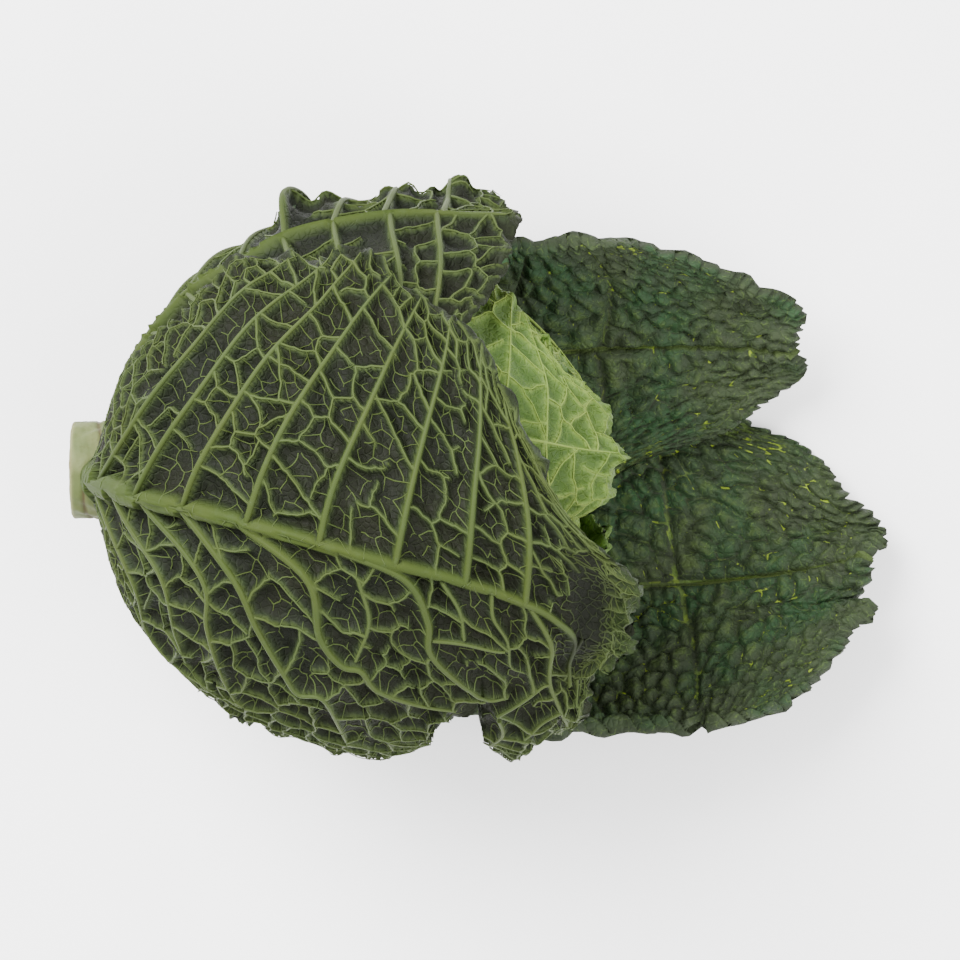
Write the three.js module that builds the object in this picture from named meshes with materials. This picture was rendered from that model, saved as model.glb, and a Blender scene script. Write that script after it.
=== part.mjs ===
// A savoy cabbage, cut from its root and lying on its side.
//
// It is built from a cut stalk, a tight heart and nine crinkled leaves, which are separate closed solids.
// Every leaf is a thin blade wrapped round the centre of the head, each one a layer further in than the last,
// and each turned by the same angle round the stalk. Its ribs stand out of its outer face.
//
// Millimetres, +Z up. The origin is the middle of the flat spot that the head rests on, straight below the
// centre of the head. +X runs from the cut stalk to the crown, so the front wrapper leaf faces up and -Y.

import * as THREE from 'three';

const { sin, cos, abs, min, max, pow, PI } = Math;
const degree = PI / 180;

// ---- Driving dimensions ----

const headRadius = 85; // centre of the head to the middle of the outermost blade
const layerPitch = 3.4; // from one blade to the next one in
const bladeThickness = 1.2;
const pitDepth = 2.3; // how far the blade sinks inwards between its veins
const sideRibHeight = 1;
const midribHalfWidth = 7; // at the stalk
const stalkRadius = 15;
const stalkEnd = -91; // X of the cut face
const fitGap = 0.5; // clearance between separate pieces
const flatSpotDepth = 0.9; // a rounded leaf this close to the ground is flattened onto it
const restSpotRadius = 19; // straight below the head's centre the lowest leaf is pressed quite flat
const rufflesRound = 13; // ruffles on a whole turn of the margin
const crownSwell = 0.09; // how much longer the head is towards its crown

const outermostLayerBelow = 1; // the spread leaf is the layer that the head lies on
const headCentreZ = headRadius - layerPitch * outermostLayerBelow + bladeThickness / 2 - flatSpotDepth;

// Angles are in degrees. azimuth is where a leaf's midrib leaves the stalk, measured round the X axis from
// straight up towards -Y, and swing is how far the midrib has turned by its tip. reach is how far round the head
// the tip comes, from the stalk at 0 to the crown at 180. spread is the half width on the low-azimuth and the
// high-azimuth side. flare is how far, in mm, the tip leans away from the head, starting at flareFrom, and tilt
// is how much more of that the high-azimuth side has.
// round is how far the corners of the tip are rounded on the two sides, 0 for square and 0.5 for a half circle.
// waves are the heights of the ruffled margin in mm: low-azimuth side, tip, high-azimuth side.
const leaves = [
  { name: 'front_wrapper_leaf', azimuth: 8, swing: 42, reach: 138, spread: [62, 80], flareFrom: 100, flare: 11,
    tilt: 0.7, round: [0.44, 0.3], waves: [6, 7, 3], rows: 24, columns: 20, rib: 4.5, colour: '#33512a',
    notches: [{ at: 50, depth: 0.2, width: 6 }, { at: 31, depth: -0.04, width: 8 }] },
  { name: 'spread_leaf', azimuth: 157, swing: -2, reach: 157, spread: [51, 58], flareFrom: 92, flare: 77,
    tilt: 0, round: [0.38, 0.34], waves: [6, 7, 6], rows: 22, columns: 18, rib: 4.5, colour: '#22401f',
    notches: [{ at: 152, depth: 0.12, width: 6 }] },
  { name: 'upper_wrapper_leaf', azimuth: -65, swing: -8, reach: 119, spread: [70, 68], flareFrom: 62, flare: 6.5,
    tilt: -0.9, round: [0.42, 0.38], waves: [5, 4, 1], rows: 20, columns: 18, rib: 4, colour: '#3c5c2d',
    notches: [] },
  { name: 'lower_wrapper_leaf', azimuth: 72.5, swing: -4, reach: 150, spread: [58, 56], flareFrom: 112, flare: 20,
    tilt: -0.2, round: [0.32, 0.42], waves: [3, 4, 1.5], rows: 18, columns: 16, rib: 3, colour: '#3c5c2d',
    notches: [] },
  { name: 'back_leaf', azimuth: -150, swing: 4, reach: 153, spread: [58, 60], flareFrom: 113, flare: 68,
    tilt: 0, round: [0.42, 0.38], waves: [3, 6, 2.5], rows: 18, columns: 16, rib: 3, colour: '#284824',
    notches: [] },
  { name: 'crown_leaf_1', azimuth: -12.5, swing: 6, reach: 155, spread: [62, 60], flareFrom: 138, flare: 6,
    tilt: 0, round: [0.44, 0.44], waves: [3, 4, 3], rows: 16, columns: 14, rib: 1.5, colour: '#6f9440',
    notches: [] },
  { name: 'crown_leaf_2', azimuth: 125, swing: 0, reach: 162, spread: [64, 64], flareFrom: 143, flare: 3,
    tilt: 0, round: [0.44, 0.44], waves: [3, 3, 3], rows: 14, columns: 12, rib: 1.5, colour: '#7b9f47',
    notches: [] },
  { name: 'crown_leaf_3', azimuth: -97.5, swing: 0, reach: 168, spread: [66, 66], flareFrom: 148, flare: 2,
    tilt: 0, round: [0.44, 0.44], waves: [2.5, 2, 2.5], rows: 14, columns: 12, rib: 1.5, colour: '#86aa4e',
    notches: [] },
  { name: 'crown_leaf_4', azimuth: 40, swing: 0, reach: 172, spread: [68, 68], flareFrom: 160, flare: 0,
    tilt: 0, round: [0.44, 0.44], waves: [2, 1, 2], rows: 14, columns: 12, rib: 1.5, colour: '#93b558',
    notches: [] },
];

const stalkColour = '#b9c48a';
const heartColour = '#a3c264';

// ---- Shared shape of the head ----

function smoothstep(low, high, value) {
  const t = min(1, max(0, (value - low) / (high - low)));
  return t * t * (3 - 2 * t);
}

// The lesser of two lengths, with their crossing rounded off over about the given length.
function softMin(a, b, length) {
  const lesser = min(a, b);
  return lesser - length * Math.log(Math.exp((lesser - a) / length) + Math.exp((lesser - b) / length));
}

// What all layers share: the head is longer towards the crown and a little lumpy.
function headShape(polar, azimuth) {
  const swell = 1 + crownSwell * smoothstep(100, 165, polar);
  const lumps = 0.012 * sin((3 * azimuth + 60) * degree) * pow(sin(polar * degree), 2);
  return swell + lumps;
}

// A point at a distance from the head's centre, in the direction given by the two angles.
function pointAt(polar, azimuth, distance) {
  const across = distance * sin(polar * degree);
  return new THREE.Vector3(
    -distance * cos(polar * degree),
    -across * sin(azimuth * degree),
    headCentreZ + across * cos(azimuth * degree),
  );
}

// ---- Leaf ----

// Pulls a square grid position (side, along), both -1 to 1, in to the outline of the leaf: rounded corners at
// the tip, and notches whose place is an angle round the blade, from 0 at the high-azimuth side to 90 at the tip.
function outline(leaf, side, along) {
  const round = side < 0 ? leaf.round[0] : leaf.round[1];
  const ahead = max(0, along);
  const ring = max(abs(side), ahead);
  const place = Math.atan2(along, side) / degree;
  const cut = leaf.notches.reduce(
    (sum, notch) => sum + notch.depth * Math.exp(-pow((place - notch.at) / notch.width, 2)), 0);
  const kept = 1 - cut * pow(ring, 5);
  return {
    side: side * Math.sqrt(1 - round * ahead * ahead) * kept,
    along: along > 0 ? along * Math.sqrt(1 - round * side * side) * kept : along,
    ring,
    place,
  };
}

// The middle of the blade, before its thickness, pits and ribs.
function bladePoint(leaf, layer, gridSide, gridAlong) {
  const { side, along, ring, place } = outline(leaf, gridSide, gridAlong);
  const q = (along + 1) / 2; // 0 at the stalk, 1 at the tip
  const ringRadius = headRadius - layer * layerPitch;
  const polarStart = Math.asin((stalkRadius + fitGap + bladeThickness) / ringRadius) / degree;
  const sweep = 0.13 * pow(abs(side), 1.5) * (1 - q);
  const polar = polarStart + (leaf.reach - polarStart) * (q + sweep);

  const halfAngle = (side < 0 ? leaf.spread[0] : leaf.spread[1]) * (0.86 + 0.14 * sin(PI * min(1, q * 1.1)));
  const azimuth = leaf.azimuth + leaf.swing * pow(q, 3) + side * halfAngle;

  const lean = max(0, (polar - leaf.flareFrom) / (leaf.reach - leaf.flareFrom));
  const tipShare = smoothstep(45, 75, place) * (1 - smoothstep(105, 135, place));
  const sideWave = side < 0 ? leaf.waves[0] : leaf.waves[2];
  const waveHeight = sideWave + (leaf.waves[1] - sideWave) * tipShare;
  const ruffle = 0.5 + 0.5 * sin((place * rufflesRound + leaf.azimuth) * degree);
  const wave = waveHeight * ruffle * pow(ring, 7) * smoothstep(0, 0.35, q);
  const leanOut = leaf.flare * (1 + leaf.tilt * side) * pow(lean, 1.6);
  const free = ringRadius * headShape(polar, azimuth) + leanOut + wave;

  const downwards = -cos(azimuth * degree) * sin(polar * degree);
  if (downwards < 0.05) return pointAt(polar, azimuth, free);
  const clearance = bladeThickness / 2 + max(0, layer - outermostLayerBelow) * layerPitch - 0.3;
  return pointAt(polar, azimuth, softMin(free, (headCentreZ - clearance) / downwards, 1.5));
}

// Height of the ribs on the outer face: a thick midrib that narrows towards the tip, and side ribs on every
// second row of the grid.
function ribHeight(leaf, column, row, offMidrib) {
  const q = row / leaf.rows;
  const halfWidth = midribHalfWidth * (1 - 0.55 * q);
  const midrib = leaf.rib * (1 - 0.75 * pow(q, 0.6)) * Math.exp(-pow(offMidrib / halfWidth, 2));
  const towardsMargin = abs(2 * column / leaf.columns - 1);
  const sideRib = row % 2 === 0 && row > 0 ? sideRibHeight * (1 - 0.6 * towardsMargin) : 0;
  return max(midrib, sideRib) * (row === leaf.rows ? 0.3 : 1);
}

// Depth of the blade between the ribs: full in the middle of each mesh of the vein net, none on a vein, and
// less where the meshes are small, by the stalk and in the corners of the tip.
function pit(leaf, column, row) {
  const inMesh = pow(sin(PI * row / 2), 2) * pow(sin(PI * column / 2), 2);
  const side = abs(2 * column / leaf.columns - 1);
  const along = 2 * row / leaf.rows - 1;
  const inCorner = smoothstep(0.35, 0.9, min(side, along));
  return pitDepth * inMesh * smoothstep(0, 0.3, row / leaf.rows) * (1 - 0.85 * inCorner);
}

function leafGeometry(leaf, layer) {
  const { columns, rows } = leaf;
  const across = columns + 1;
  const midColumn = columns / 2;
  const gridSide = (column) => {
    const s = (column - midColumn) / midColumn;
    return Math.sign(s) * pow(abs(s), 1.2); // narrower columns by the midrib
  };
  const gridAlong = (row) => 2 * row / rows - 1;
  const blade = (side, along) => bladePoint(leaf, layer, side, along);

  const outer = [];
  const inner = [];
  const nudge = 0.01;
  for (let row = 0; row <= rows; row++) {
    for (let column = 0; column <= columns; column++) {
      const side = gridSide(column);
      const along = gridAlong(row);
      const middle = blade(side, along);
      const acrossBlade = blade(min(1, side + nudge), along).sub(blade(max(-1, side - nudge), along));
      const alongBlade = blade(side, min(1, along + nudge)).sub(blade(side, max(-1, along - nudge)));
      const outwards = acrossBlade.cross(alongBlade).normalize();
      if (outwards.dot(middle.clone().sub(new THREE.Vector3(0, 0, headCentreZ))) < 0) outwards.negate();
      const pressed = layer === outermostLayerBelow && Math.hypot(middle.x, middle.y) < restSpotRadius;
      const rib = pressed ? 0 : ribHeight(leaf, column, row, middle.distanceTo(blade(0, along)));
      if (!pressed) middle.addScaledVector(outwards, -pit(leaf, column, row));
      const outerPoint = middle.clone().addScaledVector(outwards, bladeThickness / 2 + rib);
      if (pressed || outerPoint.z < flatSpotDepth) outerPoint.z = 0;
      outer.push(outerPoint);
      inner.push(middle.clone().addScaledVector(outwards, -bladeThickness / 2));
    }
  }

  const faces = [];
  const innerStart = outer.length;
  const at = (column, row) => row * across + column;
  for (let row = 0; row < rows; row++) {
    for (let column = 0; column < columns; column++) {
      const [a, b, c, d] = [at(column, row), at(column + 1, row), at(column + 1, row + 1), at(column, row + 1)];
      // The diagonal alternates, so that each mesh of the net is a shallow four-sided pyramid.
      const split = (row + column) % 2 ? [a, b, d, b, c, d] : [a, b, c, a, c, d];
      faces.push(...split);
      for (let i = 0; i < 6; i += 3) {
        faces.push(innerStart + split[i], innerStart + split[i + 2], innerStart + split[i + 1]);
      }
    }
  }
  const border = [];
  for (let column = 0; column < columns; column++) border.push(at(column, 0));
  for (let row = 0; row < rows; row++) border.push(at(columns, row));
  for (let column = columns; column > 0; column--) border.push(at(column, rows));
  for (let row = rows; row > 0; row--) border.push(at(0, row));
  border.forEach((from, i) => {
    const to = border[(i + 1) % border.length];
    faces.push(to, from, innerStart + from, to, innerStart + from, innerStart + to);
  });
  return closedGeometry([...outer, ...inner], faces);
}

// A geometry from points and triangles, turned so that its faces point out.
function closedGeometry(points, faces) {
  let volume = 0;
  for (let i = 0; i < faces.length; i += 3) {
    volume += points[faces[i]].dot(points[faces[i + 1]].clone().cross(points[faces[i + 2]]));
  }
  if (volume < 0) {
    for (let i = 0; i < faces.length; i += 3) [faces[i], faces[i + 1]] = [faces[i + 1], faces[i]];
  }
  const geometry = new THREE.BufferGeometry().setFromPoints(points);
  geometry.setIndex(faces);
  geometry.computeVertexNormals();
  return geometry;
}

// ---- Heart: the tightest leaves, which never part, as one ball with their folds raised on it ----

function heartGeometry() {
  const rings = 18;
  const sides = 24;
  const radius = headRadius - leaves.length * layerPitch - 1.2;
  const surface = (polar, azimuth) => {
    const nearCrown = smoothstep(70, 140, polar) * (1 - smoothstep(168, 180, polar));
    const fold = 1.6 * nearCrown * sin((3 * azimuth + 4 * polar) * degree);
    return pointAt(polar, azimuth, radius * headShape(polar, azimuth) - 1.7 + fold);
  };
  const points = [surface(0, 0)];
  for (let ring = 1; ring < rings; ring++) {
    for (let side = 0; side < sides; side++) points.push(surface(180 * ring / rings, 360 * side / sides));
  }
  points.push(surface(180, 0));

  const last = points.length - 1;
  const at = (ring, side) => 1 + (ring - 1) * sides + side % sides;
  const faces = [];
  for (let side = 0; side < sides; side++) {
    faces.push(0, at(1, side + 1), at(1, side), last, at(rings - 1, side), at(rings - 1, side + 1));
    for (let ring = 1; ring < rings - 1; ring++) {
      const [a, b, c, d] = [at(ring, side), at(ring, side + 1), at(ring + 1, side + 1), at(ring + 1, side)];
      faces.push(a, b, c, a, c, d);
    }
  }
  return closedGeometry(points, faces);
}

// ---- Stalk: a short stump along -X, cut square ----

function stalkGeometry() {
  const heartBottom = -(headRadius - leaves.length * layerPitch - 1.2 - 1.7) - fitGap;
  const edge = 1.2;
  const profile = [
    [0, heartBottom], [stalkRadius - 3, heartBottom], [stalkRadius - 0.6, heartBottom - 8],
    [stalkRadius, heartBottom - 20], [stalkRadius, stalkEnd + edge], [stalkRadius - edge, stalkEnd], [0, stalkEnd],
  ].map(([radius, x]) => new THREE.Vector2(radius, x));
  const geometry = new THREE.LatheGeometry(profile.reverse(), 18);
  geometry.rotateZ(-PI / 2); // the lathe's axis, Y, now lies along X
  geometry.translate(0, 0, headCentreZ);
  return geometry;
}

// ---- Assembly ----

function piece(name, geometry, colour) {
  const material = new THREE.MeshStandardMaterial({ color: colour, roughness: 0.55, metalness: 0 });
  const mesh = new THREE.Mesh(geometry, material);
  mesh.name = name;
  return mesh;
}

const cabbage = new THREE.Group();
cabbage.add(piece('stalk', stalkGeometry(), stalkColour));
cabbage.add(piece('heart', heartGeometry(), heartColour));
leaves.forEach((leaf, layer) => cabbage.add(piece(leaf.name, leafGeometry(leaf, layer), leaf.colour)));

export default cabbage;
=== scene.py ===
# A savoy cabbage on its side: nine crinkled leaves round a heart, on a cut stalk.
# Lengths are in mm unless a name says otherwise, angles in degrees. The frame's metres come in at the end.
import math

import bpy
import numpy as np
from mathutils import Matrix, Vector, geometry, kdtree


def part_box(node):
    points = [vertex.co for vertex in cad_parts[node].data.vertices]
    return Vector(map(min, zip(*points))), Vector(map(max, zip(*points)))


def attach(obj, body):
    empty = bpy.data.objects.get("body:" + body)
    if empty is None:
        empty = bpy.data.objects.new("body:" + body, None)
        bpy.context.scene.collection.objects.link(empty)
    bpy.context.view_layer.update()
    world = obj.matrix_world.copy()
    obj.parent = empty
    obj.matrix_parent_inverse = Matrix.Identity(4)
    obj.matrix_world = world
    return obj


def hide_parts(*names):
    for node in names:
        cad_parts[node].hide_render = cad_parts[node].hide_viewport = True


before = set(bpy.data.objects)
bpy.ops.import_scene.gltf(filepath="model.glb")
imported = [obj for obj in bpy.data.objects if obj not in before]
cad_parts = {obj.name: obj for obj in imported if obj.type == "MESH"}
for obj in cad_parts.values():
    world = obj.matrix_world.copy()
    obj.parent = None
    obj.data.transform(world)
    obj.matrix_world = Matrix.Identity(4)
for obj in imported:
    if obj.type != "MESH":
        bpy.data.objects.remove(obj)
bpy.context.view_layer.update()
mm = 0.001
degree = math.pi / 180

head = {
    "radius": 85,  # centre of the head to the middle of the outermost blade
    "layerPitch": 3.4,  # from one leaf to the next one in
    "blade": 1.2,  # thickness that the layers are spaced for
    "stalkRadius": 15,
    "fitGap": 0.5,  # between the stalk and the feet of the leaves
    "crownSwell": 0.09,  # share by which the head is fuller towards the crown
    "ruffles": 13,  # on a whole turn of a margin
    "restLayer": 1,  # the leaf that the head lies on
    "pressed": 0.3,  # how far that leaf is pressed into the ground's flat
}
stalkLow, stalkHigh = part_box("stalk")
headCentreZ = (stalkLow.z + stalkHigh.z) / 2 / mm


def smoothstep(low, high, value):
    t = np.clip((value - low) / (high - low), 0, 1)
    return t * t * (3 - 2 * t)


def softMin(a, b, length):
    lesser = np.minimum(a, b)
    return lesser - length * np.log(np.exp((lesser - a) / length) + np.exp((lesser - b) / length))


# A smooth, uneven wave over a plane, about -1 to 1: a few sines that cross each other.
def waver(x, y, size, seed):
    draw = np.random.RandomState(seed)
    total = np.zeros_like(x)
    waves = 5
    for _ in range(waves):
        turn, shift = draw.uniform(0, 2 * math.pi, 2)
        pace = draw.uniform(0.6, 1.5) * 2 * math.pi / size
        total += np.sin((x * math.cos(turn) + y * math.sin(turn)) * pace + shift)
    return total / waves ** 0.5 / 1.2


def pointAt(polar, azimuth, distance):
    across = distance * np.sin(polar * degree)
    return np.stack([
        -distance * np.cos(polar * degree),
        -across * np.sin(azimuth * degree),
        headCentreZ + across * np.cos(azimuth * degree),
    ], -1)


def headShape(polar, azimuth):
    swell = 1 + head["crownSwell"] * smoothstep(100, 165, polar)
    lumps = 0.012 * np.sin((3 * azimuth + 60) * degree) * np.sin(polar * degree) ** 2
    return swell + lumps


# How far the margin's features reach into the leaf, in mm.
marginReach = {
    "knobs": 2.4,
    "beads": 3.8,
    "beadsToBlisters": (3, 4.5),  # where the row of beads gives way to the blisters of the net
    "crimp": 6,
    "curl": 4,
    "taper": (9, 1),  # where the veins grow slimmer
    "bare": 1.7,  # no raised vein comes closer
    "bareInRim": 0.9,
    "bareBeaded": 4.5,
    "paler": 9,
    "cleared": (0.3, 3),  # where the hidden face moves clear of the fine one
}


# How far along the margin a place is, in half sides of the grid: -1 at the foot of the high-azimuth side, 1
# and 3 at the tip's two corners, 5 at the foot of the other side.
def marginPlace(side, along):
    ring = np.maximum(np.maximum(np.abs(side), along), 0.01)
    s, a = side / ring, along / ring
    return np.where(np.abs(side) >= along, np.where(side > 0, a, 4 - a), 2 - s)


# Round knobs on the margin, 0 in the creases between them and 1 on their tops.
def knobsAt(leaf, around):
    uneven = around + 0.014 * np.sin(around * 9 + leaf["seed"]) + 0.009 * np.sin(around * 31)
    return np.abs(np.sin(math.pi * uneven / leaf["knobPitch"])) ** 0.7


# How much of its width the leaf keeps towards one side, where something is bitten out of it.
def keptWidth(leaf, towards, along):
    kept = np.ones_like(along)
    for side, route in leaf["bites"]:
        here = np.interp(along, [point[0] for point in route], [point[1] for point in route])
        kept = np.where(towards * side > 0, here, kept)
    return kept


# How far inside the margin a place is, in mm on the flat leaf, and its place along the margin.
def marginGap(leaf, side, along):
    kept = keptWidth(leaf, np.sign(side), along)
    x, y = toFlat(leaf, side, along)
    edge, _ = toFlat(leaf, np.sign(side) * kept, along)
    gap = np.minimum(np.abs(edge) - np.abs(x), leaf["lengths"][-1] - y)
    return gap, marginPlace(side / kept, along)


# Where a square grid position (side, along), both -1 to 1, lies on the leaf's outline: rounded corners at
# the tip, notches, and the small knobs that the blisters make of the margin.
def outline(leaf, side, along, frilled=True):
    round = np.where(side < 0, leaf["round"][0], leaf["round"][1])
    ahead = np.maximum(0, along)
    ring = np.maximum(np.abs(side), ahead)
    place = np.arctan2(along, side) / degree
    cut = np.zeros_like(side)
    for at, depth, width in leaf["notches"] + [(45, leaf["corner"], 9), (135, leaf["corner"], 9)]:
        cut += depth * np.exp(-((place - at) / width) ** 2)
    kept = 1 - cut * ring ** 5
    if frilled:
        gap, around = marginGap(leaf, side, along)
        knobs = (knobsAt(leaf, around) - 0.65) * np.exp(-(np.maximum(gap, 0) / marginReach["knobs"]) ** 1.5)
        kept = kept + leaf["knobs"] * knobs * smoothstep(-0.97, -0.6, along)
    newSide = side * np.sqrt(1 - round * ahead ** 2) * kept
    newAlong = np.where(along > 0, along * np.sqrt(1 - round * side ** 2) * kept, along)
    return newSide, newAlong, ring, place


# The middle of a leaf's blade before its net is pressed into it.
def bladeSurface(leaf, gridSide, gridAlong, frilled=True):
    layer = leaf["layer"]
    side, along, ring, place = outline(leaf, gridSide, gridAlong, frilled)
    q = (along + 1) / 2  # 0 at the stalk, 1 at the tip
    ringRadius = head["radius"] - layer * head["layerPitch"]
    polarStart = math.asin((head["stalkRadius"] + head["fitGap"] + head["blade"]) / ringRadius) / degree
    sweep = 0.13 * np.abs(side) ** 1.5 * (1 - q)
    polar = polarStart + (leaf["reach"] - polarStart) * (q + sweep)

    spread = np.where(side < 0, leaf["spread"][0], leaf["spread"][1])
    halfAngle = spread * (0.86 + 0.14 * np.sin(math.pi * np.minimum(1, q * 1.1)))
    azimuth = leaf["azimuth"] + leaf["swing"] * np.sign(q) * np.abs(q) ** 3 + side * halfAngle

    lean = np.maximum(0, (polar - leaf["flareFrom"]) / (leaf["reach"] - leaf["flareFrom"]))
    tipShare = smoothstep(45, 75, place) * (1 - smoothstep(105, 135, place))
    sideWave = np.where(side < 0, leaf["waves"][0], leaf["waves"][2])
    waveHeight = sideWave + (leaf["waves"][1] - sideWave) * tipShare
    ruffle = 0.5 + 0.5 * np.sin((place * head["ruffles"] + leaf["azimuth"]) * degree)
    fromStalk = smoothstep(0, 0.35, q)
    wave = waveHeight * ruffle * ring ** 7 * fromStalk
    for atSide, atAlong, depth, halfSide, halfAlong in leaf["dents"]:
        away = ((gridSide - atSide) / halfSide) ** 4 + ((gridAlong - atAlong) / halfAlong) ** 2
        wave = wave - depth * np.exp(-away)
    wave = wave + 0.7 * waver(polar, azimuth, 34, leaf["seed"]) * fromStalk * (1 - 0.5 * ring)
    leanOut = leaf["flare"] * (1 + leaf["tilt"] * side) * lean ** 1.6
    free = ringRadius * headShape(polar, azimuth) + leanOut + wave

    downwards = -np.cos(azimuth * degree) * np.sin(polar * degree)
    clearance = head["blade"] / 2 + max(0, layer - head["restLayer"]) * head["layerPitch"] - head["pressed"]
    limit = (headCentreZ - clearance) / np.maximum(downwards, 0.05)
    distance = np.where(downwards < 0.05, free, softMin(free, limit, 1.5))
    points = pointAt(polar, azimuth, distance)
    inwards = 1 - 0.14 * smoothstep(0.035, 0, q)  # the foot of the leaf joins the stalk
    points[..., 1] *= inwards
    points[..., 2] = headCentreZ + (points[..., 2] - headCentreZ) * inwards
    return points


# How far the crimped margin stands off the blade, towards the leaf's outer face.
def crimpAt(leaf, side, along):
    gap, around = marginGap(leaf, side, along)
    near = np.exp(-np.maximum(gap, 0) / marginReach["crimp"])
    rim = within(leaf["rim"], side, along)
    crimp = leaf["crimp"] * (np.sin(around * 33 + leaf["seed"]) + 0.6 * np.sin(around * 57 + 2)) * near
    crimp = crimp * (1 + 0.6 * rim) + 0.7 * rim * np.sin(around * 118) * near
    curl = leaf["curl"] * smoothstep(marginReach["curl"], 0, gap) ** 2
    return (crimp + curl) * smoothstep(-1, -0.3, along)


# How far inside one of a leaf's zones a place is, from 0 to 1. A zone is its middle and its half widths.
def within(zone, side, along):
    if zone is None:
        return np.zeros_like(side)
    atSide, atAlong, halfSide, halfAlong = zone
    return np.exp(-((side - atSide) / halfSide) ** 4 - ((along - atAlong) / halfAlong) ** 4)


# Blade points with the directions that stand out of the leaf's outer face.
def bladeFrame(leaf, gridSide, gridAlong):
    nudge = 0.012
    middle = bladeSurface(leaf, gridSide, gridAlong)
    side, ahead = np.clip(gridSide, -0.985, 0.985), np.clip(gridAlong, -0.985, 0.985)
    across = bladeSurface(leaf, side + nudge, ahead, False) - bladeSurface(leaf, side - nudge, ahead, False)
    along = bladeSurface(leaf, side, ahead + nudge, False) - bladeSurface(leaf, side, ahead - nudge, False)
    outwards = np.cross(across, along)
    outwards /= np.linalg.norm(outwards, axis=-1, keepdims=True) + 1e-9
    if leaf["turned"] is None:
        fromCentre = middle - np.array([0, 0, headCentreZ])
        leaf["turned"] = 1 if np.mean(np.sum(outwards * fromCentre, -1)) > 0 else -1
    outwards = outwards * leaf["turned"]
    return middle + outwards * crimpAt(leaf, gridSide, gridAlong)[..., None], outwards


# The leaf spread flat, in mm, so that the net's meshes keep their real size: how far each place is from the
# midrib, along its row, and how far its row is from the stalk, along the midrib.
def flatten(leaf):
    rows, columns = 141, 121
    leaf["rows"], leaf["columns"] = np.linspace(-1, 1, rows), np.linspace(-1, 1, columns)
    points = bladeSurface(leaf, *np.meshgrid(leaf["columns"], leaf["rows"]), False)
    steps = np.linalg.norm(np.diff(points, axis=1), axis=2)
    across = np.concatenate([np.zeros((rows, 1)), np.cumsum(steps, axis=1)], 1)
    leaf["across"] = across - across[:, columns // 2][:, None]
    up = np.linalg.norm(np.diff(points[:, columns // 2], axis=0), axis=1)
    leaf["lengths"] = np.concatenate([[0], np.cumsum(up)])


# The two rows of the flat leaf on either side of a place, and its share of the second.
def rowsAt(leaf, along):
    last = len(leaf["rows"]) - 1
    at = np.clip((along + 1) / 2 * last, 0, last - 1e-6)
    return at.astype(int), at - at.astype(int)


def toFlat(leaf, side, along):
    low, share = rowsAt(leaf, along)
    last = len(leaf["columns"]) - 1
    at = np.clip((side + 1) / 2 * last, 0, last - 1e-6)
    left, part = at.astype(int), at - at.astype(int)
    table = leaf["across"]
    near = table[low, left] * (1 - part) + table[low, left + 1] * part
    far = table[low + 1, left] * (1 - part) + table[low + 1, left + 1] * part
    return near * (1 - share) + far * share, np.interp(along, leaf["rows"], leaf["lengths"])


def toGrid(leaf, x, y):
    along = np.interp(y, leaf["lengths"], leaf["rows"])
    low, share = rowsAt(leaf, along)
    near, far = np.zeros_like(x), np.zeros_like(x)
    for row in np.unique(low):
        here = low == row
        near[here] = np.interp(x[here], leaf["across"][row], leaf["columns"])
        far[here] = np.interp(x[here], leaf["across"][row + 1], leaf["columns"])
    return near * (1 - share) + far * share, along


# How far the leaf reaches on either side of the midrib, in mm.
def reachAt(leaf, along):
    reaches = []
    for towards in (-1, 1):
        x, _ = toFlat(leaf, towards * keptWidth(leaf, towards, along), along)
        reaches.append(towards * x)
    return reaches


# Veins run a little unevenly: the same push for every vein at a place, so that they still meet.
def pushed(leaf, x, y, toMain):
    size, seed = leaf["mesh"], leaf["seed"] + 11
    free = 1 - np.exp(-toMain / 4)
    dx = size * (0.05 * waver(x, y, size * 6, seed) + 0.13 * free * waver(x, y, size * 1.7, seed + 1))
    dy = size * (0.05 * waver(x, y, size * 6, seed + 2) + 0.13 * free * waver(x, y, size * 1.7, seed + 3))
    kink = 0.32 * free
    return x + dx + kink * waver(x, y, 3.8, seed + 4), y + dy + kink * waver(x, y, 3.8, seed + 5)


def smoothLine(points, step):
    points = np.asarray(points, float)
    padded = np.vstack([2 * points[0] - points[1], points, 2 * points[-1] - points[-2]])
    made = []
    for i in range(1, len(padded) - 2):
        a, b, c, d = padded[i - 1:i + 3]
        count = max(2, int(np.linalg.norm(c - b) / step))
        for t in np.arange(count) / count:
            made.append(0.5 * (2 * b + (c - a) * t + (2 * a - 5 * b + 4 * c - d) * t ** 2
                               + (3 * b - a - 3 * c + d) * t ** 3))
    made.append(points[-1])
    return np.array(made)


camera = {
    "over": (31.5, -3.0),  # what it looks straight down on
    "above": 1500,  # above the middle of the head
    "width": 288,  # of the view at that height
    "sensor": 36,
}


# Finds where points, given as (x, y) seen from the camera, lie on the upper side of a leaf.
def onLeaf(leaf, seen):
    line = np.linspace(-0.995, 0.995, 260)
    side, along = np.meshgrid(line, line)
    middle, outwards = bladeFrame(leaf, side, along)
    nearer = camera["above"] / (camera["above"] + headCentreZ - middle[..., 2])
    x = camera["over"][0] + (middle[..., 0] - camera["over"][0]) * nearer
    y = camera["over"][1] + (middle[..., 1] - camera["over"][1]) * nearer
    hidden = 1e6 * (outwards[..., 2] < 0)
    found = []
    for px, py in seen:
        i = np.argmin(np.hypot(x - px, y - py) + hidden)
        found.append((side.flat[i], along.flat[i]))
    return found


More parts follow.
